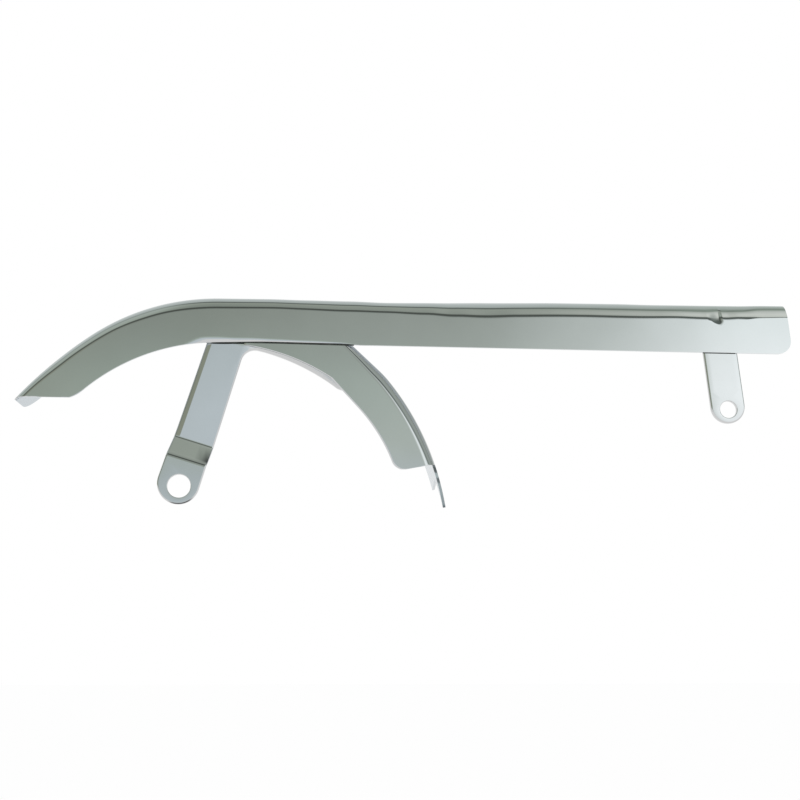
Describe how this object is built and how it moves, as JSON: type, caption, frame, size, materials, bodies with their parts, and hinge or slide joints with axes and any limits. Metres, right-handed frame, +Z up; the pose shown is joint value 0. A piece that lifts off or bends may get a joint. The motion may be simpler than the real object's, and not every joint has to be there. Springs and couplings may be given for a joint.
{
  "type": "drive belt guard",
  "caption": "Upper drive-belt guard for a motorcycle: chromed folded cover with a curved tail, a curved pulley shield below it, a joggled leg and a front lug for its bolts.",
  "frame": {"origin": "centre of the rear bolt hole, on the front plane of the foot and of the guard's face", "axes": "+X along the guard to its front end, +Z up, +Y in from the face towards the belt"},
  "size_m": [0.4615, 0.0456, 0.1246],
  "materials": {
    "chrome": "bright polished chrome plate on steel"
  },
  "bodies": {
    "root": {"guard_channel": "chrome", "pulley_shield": "chrome", "support_bracket": "chrome", "front_tab": "chrome"}
  },
  "joints": []
}
